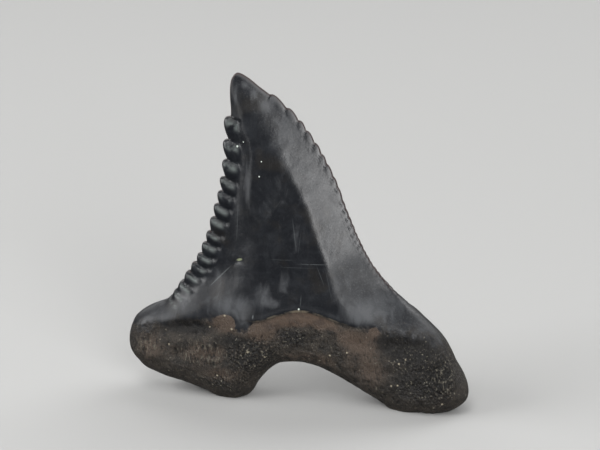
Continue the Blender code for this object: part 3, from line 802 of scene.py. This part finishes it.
rootFinish = {
    "dark": rgb(0.018, 0.015, 0.0122),
    "grey": rgb(0.0435, 0.0355, 0.0275),
    "brown": rgb(0.074, 0.052, 0.038),
    "pit": rgb(0.0055, 0.005, 0.0048),
    "crumb": rgb(0.162, 0.149, 0.116),
    # colour of the painted glints
    "glintCream": rgb(0.27, 0.238, 0.175),
    "roughness": 0.5,
    "roughnessChange": 0.36,
    "roughnessNoise": (2.2, 3.0),
    "patchNoise": (0.9, 5.0, 0.66, 0.6),
    "patchLayer": (0.36, 0.66, 1.0),
    "fineStretch": (5.6, 5.6, 3.6),
    "fineNoise": (1.0, 4.0, 0.72),
    "fineHeight": 0.24,
    "finePits": (0.5, 0.62, 0.8),
    "fineCrumbs": (0.38, 0.29, 0.38),
    "pores": (0.02, 0.1, 0.65),
    "glintNoise": (3.6, 2.0, 0.6),
    "glintPull": 0.04,
    "glints": (0.67, 0.73, 0.85),
    # brown and dark patches: x, z, half width, half height and strength
    "brownFront": [
        (-6.6, 8.15, 1.35, 1.0, 1.6), (-8.7, 4.8, 2.8, 1.2, 0.75), (-14.1, 5.2, 1.4, 1.6, 0.8),
        (-3.1, 7.4, 1.6, 1.1, 1.4), (1.7, 4.9, 3.2, 0.9, 0.6), (6.6, 6.8, 1.9, 1.3, 0.95),
        (7.9, 8.3, 0.6, 0.6, 1.3), (-6.9, 2.7, 1.6, 0.7, 0.9), (5.4, 7.6, 1.2, 0.8, 0.7),
        (7.6, 4.2, 1.8, 1.6, 0.75), (12.3, 4.2, 1.0, 1.2, 0.15),
    ],
    "brownBack": [
        (-9.0, 5.2, 3.0, 1.4, 0.8), (2.0, 9.6, 3.4, 0.9, 0.9), (7.5, 5.8, 2.2, 1.4, 0.8),
        (-2.5, 7.2, 1.6, 1.2, 0.6),
    ],
    "brownPulls": (1.3, 0.7),  # by the patchy noise and by the fine one
    "brownLayer": (0.1, 1.0, 0.9),
    "brownSmooths": (0.5, 1.2, 0.6),
    # the first three dark patches, in the fold under the enamel on the left lobe and in the hollow on the
    # right, are painted shade as well as the root's own dark colour
    "darkFront": [
        (-10.4, 7.3, 2.4, 0.65, 1.6), (11.0, 6.9, 2.3, 1.0, 2.2), (9.9, 7.6, 1.4, 0.6, 1.2),
        (-4.8, 4.4, 1.1, 1.8, 0.5), (-5.9, 6.3, 1.3, 0.6, 1.0), (0.1, 7.0, 1.8, 0.8, 0.8),
        (13.2, 4.0, 2.8, 2.6, 0.75), (4.4, 5.6, 1.0, 1.0, 0.4), (10.2, 3.0, 2.0, 1.8, 0.5),
        (-8.4, 3.4, 2.2, 0.8, 0.4),
    ],
    "darkBack": [(1.1, 6.9, 0.8, 2.0, 1.2), (-12.0, 3.5, 2.5, 1.8, 0.4), (12.5, 4.5, 2.5, 2.0, 0.4)],
    "darkPull": 1.2,
    "darkLayer": (0.15, 0.95, 0.85),
    # zones of small crumbs
    "crumblyFront": [
        (-4.0, 4.8, 2.4, 1.7, 1.5), (0.0, 7.0, 1.5, 0.9, 1.2), (11.5, 2.4, 2.5, 1.6, 0.6),
        (10.8, 5.6, 2.4, 1.6, 0.8), (14.2, 3.8, 1.8, 2.8, 0.85), (4.6, 5.9, 1.6, 1.0, 0.6),
        (-14.0, 6.3, 2.0, 1.0, 0.5), (-7.0, 1.8, 2.6, 1.1, 0.75),
    ],
    "crumblyBack": [(-6.0, 4.0, 3.0, 2.0, 0.8), (8.0, 3.5, 3.5, 2.0, 0.8)],
    "crumblyPull": 1.6,
    "crumblyFade": (0.2, 0.9),
    "beadStretch": (1.0, 1.0, 0.8),
    "beadScale": 4.0,
    "beadPits": (0.37, 0.58, 0.85),
    "beadCrumbs": (0.3, 0.12, 0.8),
    "litFade": (0.44, 0.56),
    "beadLevel": 0.4,
    "beadHeight": (0.1, 0.8, 0.18),
    # zones of short upright wrinkles
    "wrinkledFront": [
        (-14.4, 5.4, 1.6, 1.5, 0.9), (-8.8, 4.8, 3.0, 1.5, 1.2), (14.4, 4.3, 1.5, 2.4, 1.0),
        (-6.6, 2.6, 1.4, 0.7, 0.8),
    ],
    "wrinkledBack": [(-13.5, 4.5, 2.0, 2.0, 0.8), (13.0, 4.0, 2.5, 2.5, 0.8)],
    "wrinkledFade": (0.1, 0.9),
    "wrinkleStretch": (4.0, 4.0, 1.25),
    "wrinkleNoise": (1.0, 3.0, 0.6),
    "wrinkleHeight": 0.4,
    "wrinkleCrumbs": (0.05, 0.14, 0.5),
    "wrinklePits": (-0.04, -0.12, 0.9),
    # painted glints, small cream highlights on the root: x, z and half width
    "paintedGlints": [
        (-6.6, 8.8, 0.14), (-8.1, 7.5, 0.1), (-5.9, 7.5, 0.15), (-7.4, 2.6, 0.13), (-12.1, 5.5, 0.12),
        (-4.4, 5.2, 0.15), (-12.3, 2.6, 0.12), (3.6, 5.5, 0.13), (5.3, 6.0, 0.13), (10.3, 5.3, 0.13),
        (10.9, 5.7, 0.11), (9.6, 3.0, 0.12), (10.2, 3.1, 0.12), (14.4, 1.3, 0.13), (-2.8, 4.7, 0.13),
    ],
}

# Smooth brown band under the arch of the enamel. Its spots are x, drop below the enamel's end, half length
# and half width.
bandFinish = {
    "brown": rgb(0.068, 0.047, 0.034),
    "shade": rgb(0.044, 0.031, 0.024),
    "spot": (0.7, 0.78, 5.6, 1.15),
    "pulls": (1.6, 0.9),
    "fade": (0.2, 0.8),
    "shadeNoise": (1.7, 4.0),
    "shadeLayer": (0.4, 0.7, 1.0),
    "smoothness": 0.8,
    "smoothSpot": (0.7, 0.4, 5.6, 1.2),
}

# Torn lower edge of the enamel, and the pale line of its lip along the arch.
edgeFinish = {
    "noise": (1.6, 5.0, 0.65),
    "outwards": (20.0, 90.0),  # by squared x: the edge gets softer outwards
    "tears": (0.5, 3.4, 3.5),  # in the middle, outwards and at the tongue
    "starts": (-0.05, -0.45),
    "ends": (0.25, 0.75, 0.6),
    "brownPull": (0.7, 1.3, 1.4),
    "tongue": (-4.9, 8.0, 1.15, 1.7),  # enamel that reaches down between two brown patches
    "lip": rgb(0.13, 0.108, 0.076),
    "lipSpot": (0.6, 0.03, 5.4, 0.17),
    "lipNoise": (1.1, 3.0),
    "lipLayer": (0.36, 0.56, 0.7),
}


def enamelColour(sheet, where, x, z, front, hazeAndHighlight):
    finish = enamelFinish
    wisps = sheet.noise(sheet.stretched(where, finish["wispStretch"]), *finish["wispNoise"])
    colour = finish["black"]
    for tone in ("cloud", "warm"):
        clouds = sheet.noise(where, *finish[tone + "Noise"])
        colour = sheet.tinted(colour, finish[tone], clouds, finish[tone + "Layer"])
    # grey haze, partly the enamel's own clouding and partly painted highlight
    hazeAndHighlightMask = sheet.fade(hazeAndHighlight + (wisps - 0.5) * finish["wispPull"], *finish["hazeAndHighlightFade"])
    faint = sheet.layer(wisps, *finish["faintLayer"])
    colour = sheet.mixed(colour, finish["hazeAndHighlight"], hazeAndHighlightMask * finish["hazeAndHighlightShare"] + faint * (1 - hazeAndHighlightMask))
    grains = sheet.fade(sheet.noise(where, *finish["grainNoise"]), *finish["grainFade"])
    flankGap = sheet.mark("rightGap") + sheet.layer(z, *finish["flankNarrowing"])
    onFlank = (1 - sheet.fade(flankGap, *finish["flankFade"])) * front
    grainShare = finish["grainShare"] + onFlank * finish["flankGrainShare"]
    colour = sheet.mixed(colour, finish["hazeAndHighlight"], grains * grainShare)
    freckles = sheet.noise(where, *finish["freckleNoise"])
    colour = sheet.tinted(colour, finish["edgeGrey"], freckles, finish["freckleLayer"], onFlank)
    broken = sheet.fade(wisps, *finish["strokeFade"]) * front
    for lines, tint in (("strokes", "scratch"), ("veins", "black")):
        for atX, atZ, halfLength, halfWidth, turn, strength in finish[lines]:
            stroke = sheet.spot(x, z, atX, atZ, halfLength, halfWidth, turn)
            colour = sheet.mixed(colour, finish[tint], stroke * broken * strength)
    for atX, atZ, halfWidth in finish["specks"]:
        speck = sheet.spot(x, z, atX, atZ, halfWidth, halfWidth) * front
        colour = sheet.mixed(colour, finish["speck"], speck)
    chip = sheet.spot(x, z, *finish["paleChip"]) * front
    return sheet.tinted(colour, finish["chip"], grains, finish["paleChipLayer"], chip)


def edgeTones(sheet, enamel, where, z, leftGap, rightGap):
    # painted highlight streaks on the upper sides of the ribs, grey tops of the scallops and dark gaps
    # between them
    finish = enamelFinish
    notch = sheet.mark("notch")
    starts, stops = finish["paintedHighlightFades"]
    # painted highlight: pale streaks on the upper sides of the ribs
    paintedHighlight = sheet.mark("ribPaintedHighlight") * sheet.fade(leftGap, *starts) * sheet.fade(leftGap, *stops)
    paintedHighlight *= sheet.mark("serrated")
    smears = sheet.noise(where, *finish["paintedHighlightNoise"])
    enamel = sheet.tinted(enamel, finish["ribPaintedHighlight"], smears, finish["paintedHighlightLayer"], paintedHighlight)
    tops = sheet.fade(notch, *finish["topFade"]) * sheet.fade(z, *finish["topsFromZ"])
    enamel = sheet.tinted(enamel, finish["edgeGrey"], rightGap, finish["topLayer"], tops)
    gaps = sheet.fade(notch, *finish["gapFade"])
    return sheet.tinted(enamel, finish["black"], rightGap, finish["gapLayer"], gaps)


def rootColour(sheet, where, x, z, front, below, fine, beads, wrinkles):
    finish = rootFinish
    brown, dark, crumbly, pits = [sheet.mark(name) for name in ("brown", "dark", "crumbly", "pits")]
    patchy = sheet.noise(where, *finish["patchNoise"])
    colour = sheet.tinted(finish["dark"], finish["grey"], patchy, finish["patchLayer"])

    def pulled(value, patchPull, finePull):
        return value + (patchy - 0.5) * patchPull + (fine - 0.5) * finePull

    browner = pulled(brown, *finish["brownPulls"])
    colour = sheet.tinted(colour, finish["brown"], browner, finish["brownLayer"])
    # dark patches: the root's own dark colour, and painted shade in the fold and the hollow under the enamel
    darker = dark + (patchy - 0.5) * finish["darkPull"]
    colour = sheet.tinted(colour, finish["pit"], darker, finish["darkLayer"])
    band = pulled(sheet.spot(x, below, *bandFinish["spot"]), *bandFinish["pulls"])
    band = sheet.fade(band, *bandFinish["fade"])
    shades = sheet.noise(where, *bandFinish["shadeNoise"])
    bandColour = sheet.tinted(bandFinish["brown"], bandFinish["shade"], shades, bandFinish["shadeLayer"])
    colour = sheet.mixed(colour, bandColour, band)
    rough = (1 - band * bandFinish["smoothness"]) * (1 - sheet.layer(brown, *finish["brownSmooths"]))
    loose = crumbly + (patchy - 0.5) * finish["crumblyPull"]
    loose = sheet.fade(loose, *finish["crumblyFade"]) * rough
    lit = sheet.fade(fine, *finish["litFade"]) * loose
    glints = sheet.noise(where, *finish["glintNoise"]) + crumbly * finish["glintPull"]
    layers = [
        ("pit", fine, "finePits", rough), ("crumb", fine, "fineCrumbs", rough),
        ("pit", beads, "beadPits", loose), ("crumb", beads, "beadCrumbs", lit),
        ("crumb", wrinkles, "wrinkleCrumbs", 1.0), ("pit", wrinkles, "wrinklePits", 1.0),
        ("pit", pits, "pores", 1.0), ("crumb", glints, "glints", rough),
    ]
    for tint, value, layer, within in layers:
        colour = sheet.tinted(colour, finish[tint], value, finish[layer], within)
    # painted glints: cream highlight specks on the root
    for atX, atZ, halfWidth in finish["paintedGlints"]:
        spot = sheet.spot(x, z, atX, atZ, halfWidth, halfWidth) * front
        colour = sheet.mixed(colour, finish["glintCream"], spot)
    return colour


def tornEdge(sheet, where, x, z, front, below):
    # 0 on the enamel and 1 on the bare root
    finish = edgeFinish
    outwards = sheet.fade(x * x, *finish["outwards"])
    tongue = sheet.spot(x, z, *finish["tongue"]) * front
    middleTear, outerTear, tongueTear = finish["tears"]
    tears = middleTear + outwards * outerTear + tongue * tongueTear
    torn = (sheet.noise(where, *finish["noise"]) - 0.5) * tears - tongue
    torn += sheet.layer(sheet.mark("brown"), *finish["brownPull"])
    middleStart, outerStart = finish["starts"]
    middleEnd, outerEnd, tongueEnd = finish["ends"]
    start = middleStart + outwards * outerStart
    return sheet.fade(below + torn, start, middleEnd + outwards * outerEnd + tongue * tongueEnd)


def toothGloss(sheet, where, hazeAndHighlight, leftGap):
    # roughness of the enamel and of the bare root
    finish = enamelFinish
    smears = sheet.noise(where, *finish["roughnessNoise"]) - 0.5
    gloss = finish["roughness"] + smears * finish["roughnessChange"]
    nearRibs = (1 - sheet.fade(leftGap, *finish["ribFade"])) * sheet.mark("serrated")
    gloss += nearRibs * (finish["ribRoughness"] - finish["roughness"])
    gloss += sheet.layer(hazeAndHighlight, *finish["hazeAndHighlightDulls"])
    gloss += sheet.layer(sheet.mark("dull"), *finish["wearDulls"])
    smears = sheet.noise(where, *rootFinish["roughnessNoise"]) - 0.5
    return gloss, rootFinish["roughness"] + smears * rootFinish["roughnessChange"]


def toothRelief(sheet, where, x, front, below, fine, beads, wrinkles):
    # grain of the enamel and of the bare root, in millimetres
    silk = (sheet.noise(where, *enamelFinish["silkNoise"]) - 0.5) * enamelFinish["silkHeight"]
    coarse = (0.5 - fine) * rootFinish["fineHeight"] + wrinkles * rootFinish["wrinkleHeight"]
    beadHeight = sheet.layer(sheet.mark("crumbly"), *rootFinish["beadHeight"])
    coarse += (rootFinish["beadLevel"] - beads) * beadHeight
    band = sheet.spot(x, below, *bandFinish["smoothSpot"]) * front
    return silk, coarse * (1 - band * bandFinish["smoothness"])


def makeFossilMaterial():
    material = bpy.data.materials.new("fossil enamel and root")
    sheet = NodeSheet(material)
    place = sheet.node("ShaderNodeTexCoord", output="Object")
    where = sheet.node("ShaderNodeVectorMath", {"operation": "SCALE"}, {0: place, "Scale": 1 / mm})
    x, z = [sheet.node("ShaderNodeSeparateXYZ", {}, {0: where}, output=side) for side in "XZ"]
    x += outline["middle"][0]
    below, front, hazeAndHighlight = [sheet.mark(name) for name in ("belowEnamel", "front", "hazeAndHighlight")]
    leftGap, rightGap = [sheet.mark(name) for name in ("leftGap", "rightGap")]
    fine = sheet.noise(sheet.stretched(where, rootFinish["fineStretch"]), *rootFinish["fineNoise"])
    beadPlace = sheet.stretched(where, rootFinish["beadStretch"])
    beads = sheet.node("ShaderNodeTexVoronoi", {}, {"Vector": beadPlace, "Scale": rootFinish["beadScale"]})
    wrinkles = sheet.noise(sheet.stretched(where, rootFinish["wrinkleStretch"]), *rootFinish["wrinkleNoise"])
    wrinkles = (wrinkles - 0.5) * sheet.fade(sheet.mark("wrinkled"), *rootFinish["wrinkledFade"])

    enamel = enamelColour(sheet, where, x, z, front, hazeAndHighlight)
    enamel = edgeTones(sheet, enamel, where, z, leftGap, rightGap)
    bareRoot = rootColour(sheet, where, x, z, front, below, fine, beads, wrinkles)
    bare = tornEdge(sheet, where, x, z, front, below)
    colour = sheet.mixed(enamel, bareRoot, bare)
    lipNoise = sheet.noise(where, *edgeFinish["lipNoise"])
    lip = sheet.spot(x, below, *edgeFinish["lipSpot"]) * front
    colour = sheet.tinted(colour, edgeFinish["lip"], lipNoise, edgeFinish["lipLayer"], lip)
    rim, rimFrom = sheet.mark("rimGap"), sheet.fade(z, *enamelFinish["rimFromZ"])
    colour = sheet.tinted(colour, enamelFinish["rim"], rim, enamelFinish["rimLayer"], rimFrom)
    sheet.feed("Base Color", colour)

    gloss, rootGloss = toothGloss(sheet, where, hazeAndHighlight, leftGap)
    sheet.feed("Roughness", gloss + (rootGloss - gloss) * bare)
    sheet.feed("Specular IOR Level", enamelFinish["specular"])
    silk, coarse = toothRelief(sheet, where, x, front, below, fine, beads, wrinkles)
    sheet.feed("Normal", sheet.bumped(coarse * bare + silk * (1 - bare), mm))
    return material


camera = {
    "azimuth": 12.0,
    "elevation": 18.0,
    "distance": 0.2213,
    "lens": 139.0,
    "aim": (0.0, 0.0, 0.0158),
    "aimUp": 0.001045,
    "aimLeft": 0.000095,
    "sensor": 36.0,
    "clip": (0.01, 10.0),
}


def towards(azimuth, elevation):
    # degrees, round from the front and up from the floor
    azimuth, elevation = math.radians(azimuth), math.radians(elevation)
    out = math.cos(elevation)
    return Vector((math.sin(azimuth) * out, -math.cos(azimuth) * out, math.sin(elevation)))


def lookingAt(aim, out, distance, name, data):
    # camera or light that stands out from its aim
    made = placed(name, data)
    made.location = Vector(aim) + out * distance
    made.rotation_mode = "QUATERNION"
    made.rotation_quaternion = (-out).to_track_quat("-Z", "Y")
    return made


def makeCamera():
    back = towards(camera["azimuth"], camera["elevation"])
    right = towards(camera["azimuth"] + 90, 0.0)
    up = back.cross(right)
    aim = Vector(camera["aim"]) + up * camera["aimUp"] - right * camera["aimLeft"]
    optics = bpy.data.cameras.new("camera")
    optics.lens = camera["lens"]
    optics.sensor_width = camera["sensor"]
    optics.clip_start, optics.clip_end = camera["clip"]
    bpy.context.scene.camera = lookingAt(aim, back, camera["distance"], "camera", optics)


studio = {
    "floorColour": rgb(0.44, 0.44, 0.434),
    "floorSize": 4.0,
    "floorRoughness": 0.9,
    "floorSpecular": 0.1,
    "skyColour": rgb(0.8, 0.8, 0.8),
    "skyStrength": 0.16,
    "softboxAim": (0.0, 0.0, 0.014),
    # name, azimuth, elevation, distance, width, height and strength in watts
    "softboxes": [
        ("right low softbox", 36.0, 5.0, 0.36, 0.16, 0.16, 1.25),
        ("right softbox", 30.0, 30.0, 0.36, 0.16, 0.16, 0.38),
        ("high softbox", -15.0, 62.0, 0.36, 0.16, 0.2, 0.45),
        ("left low softbox", -60.0, 5.0, 0.36, 0.16, 0.16, 0.24),
        ("left softbox", -72.0, 30.0, 0.36, 0.26, 0.16, 0.9),
        ("back softbox", 180.0, 60.0, 0.36, 0.3, 0.16, 0.35),
        ("back left softbox", -145.0, 25.0, 0.36, 0.22, 0.2, 0.2),
        ("back right softbox", 140.0, 32.0, 0.42, 0.32, 0.26, 0.85),
    ],
}


def makeStudio():
    mesh = bpy.data.meshes.new("floor")
    ground = bmesh.new()
    bmesh.ops.create_grid(ground, x_segments=1, y_segments=1, size=studio["floorSize"] / 2)
    ground.to_mesh(mesh)
    ground.free()
    floor = placed("floor", mesh)
    floor.visible_glossy = False  # so that the flat front of the crown stays dark
    paper = bpy.data.materials.new("pale floor")
    sheet = NodeSheet(paper)
    sheet.feed("Base Color", studio["floorColour"])
    sheet.feed("Roughness", studio["floorRoughness"])
    sheet.feed("Specular IOR Level", studio["floorSpecular"])
    mesh.materials.append(paper)
    world = bpy.data.worlds.new("studio")
    world.use_nodes = True
    sky = world.node_tree.nodes["Background"]
    sky.inputs["Color"].default_value = studio["skyColour"]
    sky.inputs["Strength"].default_value = studio["skyStrength"]
    bpy.context.scene.world = world
    for name, azimuth, elevation, distance, width, height, watts in studio["softboxes"]:
        panel = bpy.data.lights.new(name, "AREA")
        panel.shape = "RECTANGLE"
        panel.size, panel.size_y = width, height
        panel.energy = watts
        softbox = lookingAt(studio["softboxAim"], towards(azimuth, elevation), distance, name, panel)
        softbox.visible_camera = False
    return floor


tooth = makeTooth()
tooth.data.materials.append(makeFossilMaterial())
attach(tooth, "root")
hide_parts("tooth")
print("tooth dressed")

makeStudio()
makeCamera()
bpy.context.scene.view_settings.view_transform = "Standard"
print("studio and camera set")
